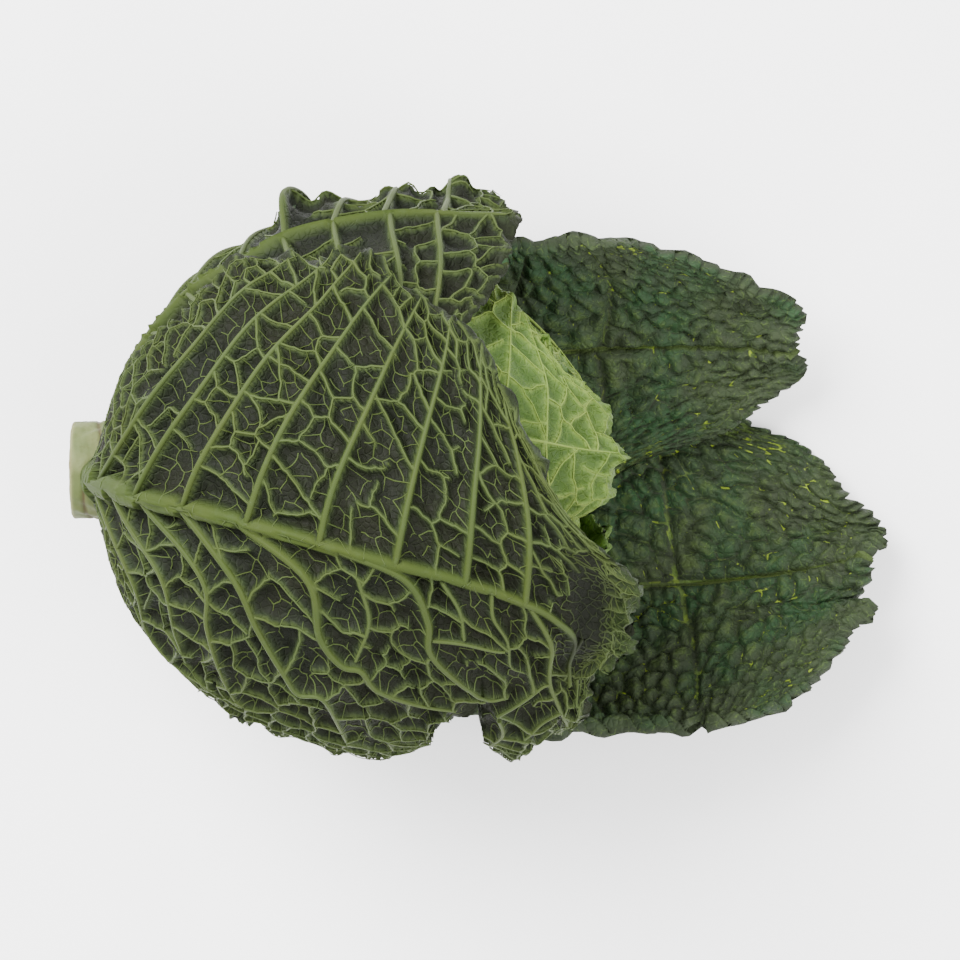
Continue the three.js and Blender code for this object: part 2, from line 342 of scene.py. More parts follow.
# The front leaf's veins as they are seen from above, in mm, each from its root outwards. The first number
# is where it leaves the midrib, from -1 at the stalk to 1 at the tip, the second how stout it is.
frontVeins = [
    (-0.93, 0.55, [(-72.6, -32.4), (-67.8, -48.3), (-59.1, -58.8), (-48.3, -66)]),
    (-0.74, 0.65, [(-63.6, -32.4), (-59.4, -49.5), (-56.5, -57.6)]),
    (-0.55, 0.72, [(-51.3, -32.4), (-50.4, -47.1), (-45.9, -61.2), (-40.8, -69.9)]),
    (-0.37, 0.85, [(-42, -32.4), (-34.8, -47.7), (-27.3, -60.6), (-22.5, -66.6), (-14.7, -69.3),
                   (-8.1, -81.6)]),
    (-0.16, 1.05, [(-20.7, -32.4), (-16.5, -49.5), (-10.2, -58.2), (-4.2, -60.6), (0.3, -66), (12.6, -69.9),
                   (24, -72)]),
    (0.16, 1.0, [(9.3, -32.7), (15.9, -45.3), (17.1, -54.6), (24, -62.7), (33.6, -68.4), (39.3, -67.8)]),
    (0.6, 0.45, [(34.8, -37.2), (35.4, -44.1), (39, -51), (40.5, -58.5), (44.7, -60.3)]),
    (0.72, 0.55, [(53.1, -52.8), (52.5, -63.6), (56.1, -72.3), (54.3, -79.8)]),
]
frontTwigs = [
    [(-4.8, -32.4), (-1.5, -45.3), (-6.3, -57.3)],
    [(19.8, -33.3), (24.6, -42), (26.7, -50.4)],
    [(17.7, -51), (26.7, -51.6), (35.4, -53.7), (38.4, -53.7)],
    [(36.6, -73.5), (42.9, -69.6), (49.8, -65.4), (52.5, -64.2)],
    [(37.2, -74.7), (38.4, -78.9), (35.4, -81.6)],
    [(61.8, -50.1), (57.9, -59.1), (56.7, -62.7)],
    [(56.1, -72.3), (49, -76), (44.7, -80.4)],
]
frontMidrib = [(-0.01, 0.1), (-0.04, 0.35), (-0.07, 0.51), (-0.1, 0.68), (-0.09, 0.78), (0.04, 0.88),
               (0.3, 0.9)]
midribRadius = ((-1, -0.6, 0, 0.5, 0.7, 0.8, 1), (5.2, 3.2, 2.1, 1.6, 1.35, 0.9, 0.5))  # along it, in mm

# What every leaf has unless its own values say otherwise. A leaf's grid runs from -1 to 1 from side to side
# and from the stalk to the tip. Its zones are (side, along, half width, half length) on that grid.
nettedLeaf = {
    "kind": "outer",
    "shown": "outer",  # the face that is seen, with the net standing on it
    "beaded": False,  # whether the blisters make a row of beads along the margin
    "grid": (72, 90),  # columns and rows, each a multiple of hiddenStep
    "denseFrom": 0.001,  # from where on the rows stand closer
    "fineRows": (),  # places with extra rows
    "step": 1.6,  # between the points of a vein's line, mm
    "shownFrom": 0,  # mm from the stalk: the rest is covered
    "stretch": 1,  # of the meshes, side to side
    "fineNet": 0,  # size of the third net's meshes, mm, or 0 for none
    "corner": 0.07,  # how far the tip's corners are cut off
    "knobs": 0.02,  # along the margin, as a share of the leaf
    "knobPitch": 0.06,  # from knob to knob, in half sides of the grid
    "crimp": 1.2,  # height of the margin's crimp, mm
    "curl": 0,  # how far the margin curls up, mm
    "notches": [],  # (degrees round the leaf, depth, half width in degrees)
    "dents": [],  # (side, along, depth in mm, half width, half length)
    "bites": [],  # (towards, [(along, share of the width kept), ...])
    "shadedHollow": None,  # the zone with painted shade: dark and almost without veins
    "rim": None,  # the zone with the finest net and frill
}
blisteredLeaf = dict(nettedLeaf, shown="inner", beaded=True, stretch=1.2, knobs=0.014, knobPitch=0.047,
                     crimp=0.8, curl=2.2)
crownLeaf = dict(nettedLeaf, kind="crown", denseFrom=0.5, shownFrom=75, knobs=0.014, crimp=0.8,
                 round=(0.44, 0.44), tilt=0, swing=0, midrib=1.5, mesh=8, pit=1.4, sag=0.6)

leaves = [
    dict(nettedLeaf, name="front_wrapper_leaf", azimuth=8, swing=42, reach=138, spread=(62, 80),
         flareFrom=100, flare=11, tilt=0.7, round=(0.44, 0.3), waves=(6, 7, 3),
         grid=(282, 282), fineRows=(0.43, 0.597), step=1,
         midrib=4.5, mesh=8.2, fineNet=3.7, pit=2.7, sag=1.3,
         notches=[(-14, 0.05, 7), (3, 0.06, 4), (63, 0.13, 13), (84, 0.065, 11), (108, -0.055, 15)],
         dents=[(-0.12, 0.9, 4.6, 0.42, 0.055), (0.95, 0.75, -6, 0.4, 0.1), (0.95, 0.24, -2, 0.3, 0.1)],
         bites=[(1, [(0.39, 1), (0.434, 0.68), (0.473, 0.6), (0.53, 0.55), (0.583, 0.475), (0.59, 0.53),
                     (0.596, 0.7), (0.61, 0.83), (0.65, 1)])],
         shadedHollow=(-0.13, 0.895, 0.36, 0.052), rim=(-0.15, 1, 0.42, 0.055)),
    dict(blisteredLeaf, name="spread_leaf", azimuth=157, swing=-2, reach=157, spread=(51, 58),
         flareFrom=92, flare=77, tilt=0, round=(0.2, 0.3), waves=(6, 7, 6),
         grid=(240, 276), denseFrom=0.45, midrib=4.5, mesh=4.9, pit=2.9, sag=1.2, notches=[(103, 0.035, 4)],
         bites=[(-1, [(-0.08, 1), (0.03, 0.85), (0.1, 0.71), (0.4, 0.71), (0.47, 0.84), (0.5, 0.87),
                      (0.55, 0.825), (0.64, 0.825), (0.7, 0.89), (0.77, 0.94), (0.786, 0.955),
                      (0.806, 0.875), (0.812, 0.875), (0.832, 0.96), (0.86, 0.99), (0.9, 1)])]),
    dict(nettedLeaf, name="upper_wrapper_leaf", azimuth=-65, swing=-8, reach=119, spread=(70, 68),
         flareFrom=62, flare=6.5, tilt=-0.9, round=(0.42, 0.38), waves=(5, 4, 1),
         grid=(192, 168), step=1, midrib=4, mesh=8.2, pit=2.5, sag=1,
         dents=[(-0.25, 0.12, -8, 0.18, 0.065), (-0.28, 0.26, -5, 0.16, 0.05), (-0.34, 0.5, -3, 0.16, 0.04),
                (-0.37, 0.59, -4, 0.15, 0.035), (-0.41, 0.68, -3, 0.15, 0.03),
                (-0.46, 0.79, -6.5, 0.18, 0.05), (-0.56, 0.91, -3, 0.2, 0.08)]),
    dict(nettedLeaf, name="lower_wrapper_leaf", azimuth=72.5, swing=-4, reach=150, spread=(58, 56),
         flareFrom=112, flare=20, tilt=-0.2, round=(0.32, 0.42), waves=(3, 4, 1.5),
         grid=(132, 150), midrib=3, mesh=8, pit=1.8, sag=1, notches=[(90, 0.16, 34)]),
    dict(blisteredLeaf, name="back_leaf", azimuth=-150, swing=4, reach=153, spread=(58, 60),
         flareFrom=113, flare=68, tilt=0, round=(0.42, 0.38), waves=(3, 6, 2.5),
         grid=(180, 198), denseFrom=0.5, midrib=3, mesh=5.6, pit=3.2, sag=1.2),
    dict(crownLeaf, name="crown_leaf_1", azimuth=-12.5, swing=6, reach=155, spread=(62, 60),
         flareFrom=138, flare=6, waves=(3, 4, 3), grid=(102, 150), pit=1.6, sag=0.8),
    dict(crownLeaf, name="crown_leaf_2", azimuth=125, reach=162, spread=(64, 64),
         flareFrom=143, flare=3, waves=(3, 3, 3)),
    dict(crownLeaf, name="crown_leaf_3", azimuth=-97.5, reach=168, spread=(66, 66),
         flareFrom=148, flare=2, waves=(2.5, 2, 2.5)),
    dict(crownLeaf, name="crown_leaf_4", azimuth=40, reach=172, spread=(68, 68),
         flareFrom=160, flare=0, waves=(2, 1, 2)),
]
for layer, leaf in enumerate(leaves):
    leaf["layer"] = layer
    leaf["seed"] = 40 + 7 * layer
    leaf["turned"] = None  # which way the grid's normals point, found once its blade is made

print("leaves:", len(leaves))


# Side veins as (side, along) lists from the midrib out, for a leaf whose veins aren't set by hand.
def sideVeins(midrib, towards, draw):
    count, first, last = net["sides"], -0.86, 0.72  # the roots lie between first and last on the midrib
    made = []
    for i in range(count):
        root = first + (last - first) * (i / (count - 1)) ** 0.92 + draw.uniform(-0.02, 0.02)
        rise = (0.62 - 0.2 * i / count) * (1.06 - root) / 1.6 + draw.uniform(-0.02, 0.02)
        line = []
        start = towards * np.interp(root, [p[1] for p in midrib], [p[0] for p in midrib])
        for t in (0, 0.2, 0.4, 0.6, 0.8, 1):
            along = root + rise * (0.5 * t + 0.5 * t * t)
            if along < 0.95:
                line.append((towards * (start + (0.97 - start) * t), along))
        if len(line) > 1:
            made.append(line)
    return made


# Cell corners, the pairs of corners that are joined, and the pairs of seeds that each such edge parts.
def cellEdges(seeds):
    _, _, faces, *_ = geometry.delaunay_2d_cdt([tuple(s) for s in seeds], [], [], 0, 1e-6)
    faces = np.array([f for f in faces if len(f) == 3])
    a, b, c = (seeds[faces[:, i]] for i in range(3))
    d = 2 * (a[:, 0] * (b[:, 1] - c[:, 1]) + b[:, 0] * (c[:, 1] - a[:, 1]) + c[:, 0] * (a[:, 1] - b[:, 1]))
    d = np.where(np.abs(d) < 1e-9, 1e-9, d)
    aa, bb, cc = ((p ** 2).sum(1) for p in (a, b, c))
    ux = (aa * (b[:, 1] - c[:, 1]) + bb * (c[:, 1] - a[:, 1]) + cc * (a[:, 1] - b[:, 1])) / d
    uy = (aa * (c[:, 0] - b[:, 0]) + bb * (a[:, 0] - c[:, 0]) + cc * (b[:, 0] - a[:, 0])) / d
    shared = {}
    for number, face in enumerate(faces.tolist()):
        for i in range(3):
            shared.setdefault(tuple(sorted((face[i], face[i - 1]))), []).append(number)
    parted = [(pair, both) for pair, both in shared.items() if len(both) == 2]
    joined = np.array([both for _, both in parted])
    return np.stack([ux, uy], 1), joined, np.array([pair for pair, _ in parted])


net = {
    "tries": 5200,  # seeds thrown, most of which land too close to another
    "fineTries": 22000,
    "rimTries": 60000,
    "stopShort": 0.14,  # share of the veins that end inside a mesh
    "fineStopShort": 0.3,
    "rimStopShort": 0.25,
    "rimMesh": 2.1,  # mm
    "fineRadius": (0.17, 0.27),
    "rimRadius": (0.2, 0.32),
    "twigRadius": (0.62, 0.42),  # root and end
    "edgeGap": 0.6,  # between the net's lines and the leaf's edge
    "sides": 8,  # side veins on each half of a leaf
}


# Seeds no closer than the spacing allows, which is closer by the margin and by the stalk.
def scatter(leaf, spacing, draw, tries, zone):
    x = draw.uniform(leaf["across"].min(), leaf["across"].max(), tries)
    y = draw.uniform(0, leaf["lengths"][-1], tries)
    side, along = toGrid(leaf, x, y)
    low, high = reachAt(leaf, along)
    inside = (x > -low * 1.05) & (x < high * 1.05)
    if zone is not None:
        inside &= within(zone, side, along) > 0.05
    x, y, side, along = x[inside], y[inside], side[inside], along[inside]
    ring = np.maximum(np.abs(side), np.maximum(0, along))
    gap = spacing * (1 - 0.45 * smoothstep(0.7, 1, ring)) * (1 - 0.35 * smoothstep(-0.5, -1, along))
    gap *= 1 + 0.2 * waver(x, y, 50, leaf["seed"] + 2)
    near = np.stack([x / leaf["stretch"], y], 1)
    kept = np.zeros((len(x), 2))
    count = 0
    for i in range(len(x)):
        if count and np.min(((kept[:count] - near[i]) ** 2).sum(1)) < gap[i] ** 2:
            continue
        kept[count] = near[i]
        count += 1
    return kept[:count] * (leaf["stretch"], 1)


# How far along each segment, from 0 to 1, it first meets a barrier, or 9 where it meets none.
def firstMeeting(starts, ends, barriers):
    found = np.full(len(starts), 9.0)
    corner, reach = barriers[:, 0], barriers[:, 1] - barriers[:, 0]
    batch = 300
    for low in range(0, len(starts), batch):
        a, b = starts[low:low + batch, None], ends[low:low + batch, None]
        way = b - a
        cross = way[..., 0] * reach[:, 1] - way[..., 1] * reach[:, 0]
        cross = np.where(np.abs(cross) < 1e-9, 1e-9, cross)
        off = corner - a
        t = (off[..., 0] * reach[:, 1] - off[..., 1] * reach[:, 0]) / cross
        u = (off[..., 0] * way[..., 1] - off[..., 1] * way[..., 0]) / cross
        met = (t > 0.001) & (t <= 1) & (u > -0.02) & (u < 1.02)
        found[low:low + batch] = np.where(met, t, 9).min(1)
    return found


def asBarriers(lines):
    return np.vstack([np.stack([line[:-1], line[1:]], 1) for line in lines])


# A net of veins that fills the spaces between the barriers and ends on them. Some of its veins stop short.
def web(leaf, spacing, barriers, draw, tries, stopShort, zone=None):
    seeds = scatter(leaf, spacing, draw, tries, zone)
    stretch = np.array([leaf["stretch"], 1])
    corners, joined, parted = cellEdges(seeds / stretch)
    corners = corners * stretch
    a, b = corners[joined[:, 0]], corners[joined[:, 1]]
    seedA, seedB = seeds[parted[:, 0]], seeds[parted[:, 1]]
    middle = (a + b) / 2
    length = np.linalg.norm(b - a, axis=1)
    kept = (length > 0.4) & (length < spacing * 3.5) & (firstMeeting(seedA, seedB, barriers) > 1)
    kept &= firstMeeting((seedA + seedB) / 2, middle, barriers) > 1
    loose = np.zeros(len(corners), bool)
    loose[joined[~kept].reshape(-1)] = True
    joined, middle, length = joined[kept], middle[kept], length[kept]
    ends = []
    for column in (0, 1):
        corner = corners[joined[:, column]]
        way = (corner - middle) / np.maximum(length / 2, 0.1)[:, None]
        farther = corner + way * (spacing * 0.9 * loose[joined[:, column]])[:, None]
        met = firstMeeting(middle, farther, barriers)
        reached = middle + (farther - middle) * np.minimum(met, 1)[:, None]
        ends.append(np.where((met <= 1)[:, None], reached, corner))
    short = draw.uniform(0, 1, len(middle)) < stopShort
    cutBack = middle + (ends[1] - middle) * draw.uniform(-0.2, 0.4, (len(middle), 1))
    ends[1] = np.where(short[:, None], cutBack, ends[1])
    return list(zip(ends[0], ends[1], short))


# Points along a straight piece of the net, only as far as it stays on the leaf.
def onBlade(leaf, start, end, step):
    count = max(3, int(np.linalg.norm(end - start) / step) + 1)
    points = start + (end - start) * np.linspace(0, 1, count)[:, None]
    x, y = points.T
    low, high = reachAt(leaf, np.interp(y, leaf["lengths"], leaf["rows"]))
    gap = net["edgeGap"]
    good = (x > gap - low) & (x < high - gap) & (y < leaf["lengths"][-1] - gap) & (y > 1.5)
    return points[good] if good.sum() > 1 and np.all(np.diff(np.where(good)[0]) == 1) else None


# All the veins of a leaf, each with its line on the flat leaf, its radius along it and its rank.
def growVeins(leaf):
    draw = np.random.RandomState(leaf["seed"])
    size = leaf["midrib"] / 4.5
    isFront = leaf["layer"] == 0
    midrib = [(0, -1), (0, -0.5)] + (frontMidrib if isFront else [(0, 0), (0, 0.5), (0, 0.96)])
    veins = []

    def flatLine(route):
        return smoothLine(np.stack(toFlat(leaf, *np.array(route, float).T), 1), leaf["step"])

    def add(line, radius, rank):
        veins.append({"line": line, "radius": radius, "rank": rank})

    line = flatLine(midrib)
    _, along = toGrid(leaf, line[:, 0], line[:, 1])
    add(line, size * np.interp(along, *midribRadius), 0)
    routes = []
    if isFront:
        for root, stout, seen in frontVeins:
            start = (np.interp(root, [p[1] for p in midrib], [p[0] for p in midrib]) + 0.005, root)
            routes.append((stout, [start] + onLeaf(leaf, seen)))
        routes += [(0.75, route) for route in sideVeins(midrib, -1, draw)]
    else:
        routes += [(0.8, r) for towards in (-1, 1) for r in sideVeins(midrib, towards, draw)]
    for stout, route in routes:
        line = flatLine(route)
        t = np.linspace(0, 1, len(line))
        add(line, size * stout * (0.42 + 0.93 * (1 - t ** 1.35)), 1)
    if isFront:
        for seen in frontTwigs:
            line = flatLine(onLeaf(leaf, seen))
            add(line, np.linspace(*net["twigRadius"], len(line)), 1)
    mains = [v["line"] for v in veins]
    mainTree = treeOf([(x, y, 0) for x, y in np.vstack(mains)])
    barriers = asBarriers([line[::2] if len(line) > 4 else line for line in mains])

    def toMains(points):
        return np.array([mainTree.find((x, y, 0))[2] for x, y in points])

    def inHollow(points):
        middle = points[len(points) // 2:][:1].T
        return within(leaf["shadedHollow"], *toGrid(leaf, *middle))[0] > 0.35

    nets = []
    for start, end, short in web(leaf, leaf["mesh"], barriers, draw, net["tries"], net["stopShort"]):
        points = onBlade(leaf, start, end, 1.2 * leaf["step"])
        if points is None or inHollow(points):
            continue
        away = toMains(points)
        radius = size ** 0.5 * (0.26 + 0.26 * np.exp(-away / 5)) * draw.uniform(0.8, 1.2)
        if short:
            radius = radius * np.linspace(1, 0.45, len(radius))
        add(points, radius, 2)
        nets.append(points)
    if leaf["fineNet"]:
        walls = np.vstack([barriers, asBarriers([line[[0, -1]] for line in nets])])
        fine = web(leaf, leaf["fineNet"], walls, draw, net["fineTries"], net["fineStopShort"])
        for start, end, short in fine:
            points = onBlade(leaf, start, end, 1.3)
            if points is not None:
                radius = np.full(len(points), draw.uniform(*net["fineRadius"]))
                add(points, radius * (np.linspace(1, 0.5, len(points)) if short else 1), 3)
    if leaf["rim"]:
        finest = web(leaf, net["rimMesh"], walls, draw, net["rimTries"], net["rimStopShort"], leaf["rim"])
        for start, end, _ in finest:
            points = onBlade(leaf, start, end, 1)
            if points is not None:
                add(points, np.full(len(points), draw.uniform(*net["rimRadius"])), 3)
    leaf["veins"] = veins
    x, y = np.vstack([v["line"] for v in veins]).T
    x, y = pushed(leaf, x, y, toMains(zip(x, y)))
    side, along = toGrid(leaf, x, y)
    middle, outwards = bladeFrame(leaf, side, along)
    gap, _ = marginGap(leaf, side, along)
    taper = 1 - 0.6 * smoothstep(*marginReach["taper"], gap)
    ends = np.cumsum([len(v["line"]) for v in veins])[:-1]
    parts = [np.split(values, ends) for values in (middle, outwards, side, along, gap, taper)]
    for vein, *own in zip(veins, *parts):
        vein["middle"], vein["outwards"], vein["side"], vein["along"], vein["gap"] = own[:5]
        vein["radius"] = vein["radius"] * own[5]
    print(leaf["name"], "veins:", len(veins))


def treeOf(points):
    tree = kdtree.KDTree(len(points))
    for i, p in enumerate(points):
        tree.insert(p, i)
    tree.balance()
    return tree


# The nearest ribs of the wanted ranks: how far off their middle is, and their radius there.
def nearestRib(leaf, ranks, points):
    tree, radii = leaf["trees"][ranks]
    found = [tree.find(p)[1:] for p in points]
    return np.array([f[1] for f in found]), radii[[f[0] for f in found]]


def prepareRelief(leaf):
    leaf["trees"] = {}
    for ranks in ((0, 1), (2,)):
        places, radii = [], []
        for vein in [v for v in leaf["veins"] if v["rank"] in ranks]:
            finer = 3 if leaf["step"] == 1 else 4
            steps = np.linspace(0, len(vein["middle"]) - 1, finer * (len(vein["middle"]) - 1) + 1)
            number = np.arange(len(vein["middle"]))
            places.append(np.stack([np.interp(steps, number, vein["middle"][:, i]) for i in range(3)], 1))
            radii.append(np.interp(steps, number, vein["radius"]))
        leaf["trees"][ranks] = (treeOf(np.vstack(places)), np.concatenate(radii))


def ribHeight(radius):
    return 1.25 * radius / (1 + radius / 6)


# How the net shapes the blade, in mm: how far it sinks in the meshes and how high the ribs stand on it.
# Then what the colours follow: how near and how stout the ribs are, and how far up its blister a place is.
def relief(leaf, points, side, along):
    toMain, mainRadius = nearestRib(leaf, (0, 1), points)
    toNet, netRadius = nearestRib(leaf, (2,), points)
    clear = np.maximum(0, np.minimum(toMain - mainRadius * 0.9, toNet - netRadius * 0.7))
    x, y = toFlat(leaf, side, along)
    dome = 1 - (1 - np.minimum(1, clear / (leaf["mesh"] * 0.4))) ** 2.4
    inland = np.ones_like(side)
    if leaf["beaded"]:
        dome = (1 - (1 - np.minimum(1, clear / (leaf["mesh"] * 0.46))) ** 2) ** 0.62
        gap, around = marginGap(leaf, side, along)
        out = np.clip(1 - gap / marginReach["beads"], 0, 1)
        bead = np.sin(math.pi * out) ** 0.6 * knobsAt(leaf, around)
        inland = smoothstep(*marginReach["beadsToBlisters"], gap)
        dome = dome * inland + bead * (1 - inland)
    uneven = 1 + 0.3 * waver(x / leaf["stretch"], y, leaf["mesh"] * 2.3, leaf["seed"] + 8)
    q = (along + 1) / 2
    sag = leaf["sag"] * (1 - np.exp(-(toMain / 7) ** 1.5))
    sunk = (sag + leaf["pit"] * dome * uneven) * smoothstep(-0.02, 0.16, q)
    crumple = 0.2 * waver(x, y, 4.2, leaf["seed"] + 3) + 0.1 * waver(x, y, 1.9, leaf["seed"] + 4)
    sunk = (sunk + crumple * (1 - np.exp(-clear / 1.2))) * (1 - 0.8 * within(leaf["shadedHollow"], side, along))
    mainRib = ribHeight(mainRadius) / (1 + (toMain / mainRadius) ** 4)
    netRib = ribHeight(netRadius) / (1 + (toNet / (netRadius * 1.1)) ** 4)
    ribs = (np.maximum(mainRib, netRib) + 0.3 * np.minimum(mainRib, netRib)) * inland
    near = np.maximum(1 - smoothstep(0.7, 1.4, toMain / mainRadius),
                      0.9 * (1 - smoothstep(0.2, 1, (toNet - netRadius * 0.6) / 0.5)))
    near = near * inland
    tone = np.where(toMain / mainRadius < toNet / netRadius, mainRadius, netRadius)
    # dome also places the painted shade in the meshes and grooves and the painted highlight on the
    # blisters' tops
    return {"sunk": sunk, "ribs": ribs, "near": near, "tone": ribTone(tone), "clear": clear, "dome": dome}


# From 0 for the finest rib to 1 for the stoutest.
def ribTone(radius):
    return smoothstep(0.1, 1.3, radius)


def newMesh(name, points, faces):
    mesh = bpy.data.meshes.new(name)
    mesh.from_pydata((np.asarray(points) * mm).tolist(), [], faces)
    mesh.update()
    mesh.polygons.foreach_set("use_smooth", np.ones(len(faces), bool))
    return mesh


def addAttribute(mesh, name, values):
    made = mesh.attributes.new(name, "FLOAT", "POINT")
    made.data.foreach_set("value", np.asarray(values, np.float32))


def newObject(name, mesh, materials):
    made = bpy.data.objects.new(name, mesh)
    bpy.context.scene.collection.objects.link(made)
    for material in materials:
        mesh.materials.append(material)
    return made


bladeHalf = 0.42  # half the thickness of a real leaf's blade, a little stout


# The grid's lines: closer together from denseFrom on, where the leaf shows, and by the walls of what is
# bitten out.
def gridLines(leaf):
    columns, rows = leaf["grid"]
    fine = np.linspace(-1, 1, 2001)
    weight = np.where((fine + 1) / 2 > leaf["denseFrom"], 1, 0.42)
    for at in leaf["fineRows"]:
        weight = weight + 1.6 * np.exp(-((fine - at) / 0.03) ** 2)
    passed = np.concatenate([[0], np.cumsum(weight)[:-1]])
    along = np.interp(np.linspace(0, passed[-1], rows + 1), passed, fine)
    side, along = np.meshgrid(np.linspace(-1, 1, columns + 1), along)
    return side * keptWidth(leaf, np.sign(side), along), along


hiddenStep = 3  # every third line carries the face that is out of sight


# The highest of a grid's values within a few lines of each place.
def mostNearby(values):
    reach = hiddenStep
    for axis in (0, 1):
        count = values.shape[axis]
        lines = [np.clip(np.arange(count) + step, 0, count - 1) for step in range(-reach, reach + 1)]
        values = np.max([np.take(values, line, axis) for line in lines], axis=0)
    return values


# The coarse face out of sight stays clear of everything pressed into the fine one.
def keptClear(values, gap):
    return values + (mostNearby(values) - values) * smoothstep(*marginReach["cleared"], gap)


# Joins the shown face to the coarser hidden one round their border.
def shellFaces(shape, flipped):
    fine = np.arange(shape[0] * shape[1]).reshape(shape)
    coarse = np.full(shape, -1)
    kept = coarse[::hiddenStep, ::hiddenStep]
    kept[:] = fine.size + np.arange(kept.size).reshape(kept.shape)

    def quads(index):
        return np.stack([index[:-1, :-1], index[:-1, 1:], index[1:, 1:], index[1:, :-1]], -1).reshape(-1, 4)

    def border(index):
        return np.concatenate([index[0, :-1], index[:-1, -1], index[-1, :0:-1], index[:0:-1, 0]])

    shown, hidden = quads(fine), quads(kept)[:, ::-1]
    edge, edgeBehind = border(fine), border(coarse)
    rim = []
    for low in range(0, len(edge), hiddenStep):
        high = low + hiddenStep
        behind = [int(edgeBehind[low]), int(edgeBehind[high % len(edge)])]
        rim.append([int(edge[i % len(edge)]) for i in range(high, low - 1, -1)] + behind)
    faces = shown.tolist() + hidden.tolist() + rim
    if flipped:
        faces = [face[::-1] for face in faces]
    return faces, len(shown), len(hidden)


def buildBlade(leaf):
    side, along = gridLines(leaf)
    middle, outwards = bladeFrame(leaf, side, along)
    made = relief(leaf, middle.reshape(-1, 3), side.reshape(-1), along.reshape(-1))
    shaped = {name: values.reshape(side.shape) for name, values in made.items()}
    gap, _ = marginGap(leaf, side, along)
    lift = bladeHalf + shaped["ribs"] - shaped["sunk"]
    drop = bladeHalf + shaped["sunk"]
    showsOuter = leaf["shown"] == "outer"
    if showsOuter:
        drop = keptClear(drop, gap)
    else:
        lift = keptClear(bladeHalf - shaped["sunk"], gap)
    outer = middle + outwards * lift[..., None]
    inner = middle - outwards * drop[..., None]
    if leaf["layer"] == head["restLayer"]:
        outer[..., 2] = np.maximum(outer[..., 2], 0)
        inner[..., 2] = np.maximum(inner[..., 2], 0.4)  # keeps a blade where it is pressed flat

    shownFace, hiddenFace = (outer, inner) if showsOuter else (inner, outer)
    faces, shownCount, hiddenCount = shellFaces(side.shape, (leaf["turned"] > 0) != showsOuter)
    behind = hiddenFace[::hiddenStep, ::hiddenStep]
    points = np.concatenate([shownFace.reshape(-1, 3), behind.reshape(-1, 3)])
    mesh = newMesh(leaf["name"] + "_blade", points, faces)
    isInner = np.full(len(faces), 0 if showsOuter else 1, np.int32)
    isInner[shownCount:shownCount + hiddenCount] = 1 if showsOuter else 0
    mesh.polygons.foreach_set("material_index", isInner)

    def both(values, hiddenShare=1):
        hidden = values[::hiddenStep, ::hiddenStep] * hiddenShare
        return np.concatenate([values.reshape(-1), hidden.reshape(-1)])

    addAttribute(mesh, "rib", both(shaped["near"], 0.2))
    addAttribute(mesh, "tone", both(shaped["tone"]))
    addAttribute(mesh, "beside", both(np.exp(-shaped["clear"] / 0.8)))
    addAttribute(mesh, "shade", both(within(leaf["shadedHollow"], side, along)))
    addAttribute(mesh, "dome", both(shaped["dome"]))
    addAttribute(mesh, "margin", both(smoothstep(marginReach["paler"], 0, gap)))
    addAttribute(mesh, "rim", both(within(leaf["rim"], side, along)))
    uv = mesh.uv_layers.new(name="leafPlane")
    loops = np.zeros(len(mesh.loops), np.int32)
    mesh.loops.foreach_get("vertex_index", loops)
    x, y = toFlat(leaf, side, along)
    addAttribute(mesh, "midrib", both(np.exp(-np.abs(x) / (0.7 + 1.6 * smoothstep(0.9, -0.6, along)))))
    flatUv = np.stack([both(x) / 200 + 0.5, both(y) / 200], 1)
    uv.data.foreach_set("uv", flatUv[loops].astype(np.float32).reshape(-1))
    made = newObject(leaf["name"] + "_blade", mesh, leaf["materials"])
    print(made.name, "triangles:", sum(len(face) - 2 for face in faces))
    return made


# A socket that Python's own operators work on.
class Wire:
    def __init__(self, tree, socket):
        self.tree = tree
        self.socket = socket

    def math(self, operation, other=None, clamp=False, swapped=False):
        values = [self, other] if not swapped else [other, self]
        inputs = {i: v for i, v in enumerate(values) if v is not None}
        settings = {"operation": operation, "use_clamp": clamp}
        return makeNode(self.tree, "ShaderNodeMath", settings, inputs)[0]

    def __add__(self, other):
        return self.math("ADD", other)

    def __sub__(self, other):
        return self.math("SUBTRACT", other)

    def __mul__(self, other):
        return self.math("MULTIPLY", other)

    def __rsub__(self, other):
        return self.math("SUBTRACT", other, swapped=True)

    __radd__ = __add__
    __rmul__ = __mul__

    def clamped(self):
        return self.math("ADD", 0, clamp=True)

    def between(self, low, high):
        return makeNode(self.tree, "ShaderNodeMapRange", {"interpolation_type": "SMOOTHSTEP"},
                        {"Value": self, "From Min": low, "From Max": high})[0]


def makeNode(tree, kind, settings=None, inputs=None):
    made = tree.nodes.new(kind)
    for name, value in (settings or {}).items():
        setattr(made, name, value)
    for name, value in (inputs or {}).items():
        socket = made.inputs[name]
        if isinstance(value, Wire):
            tree.links.new(value.socket, socket)
        else:
            socket.default_value = value
    return [Wire(tree, out) for out in made.outputs if out.enabled]


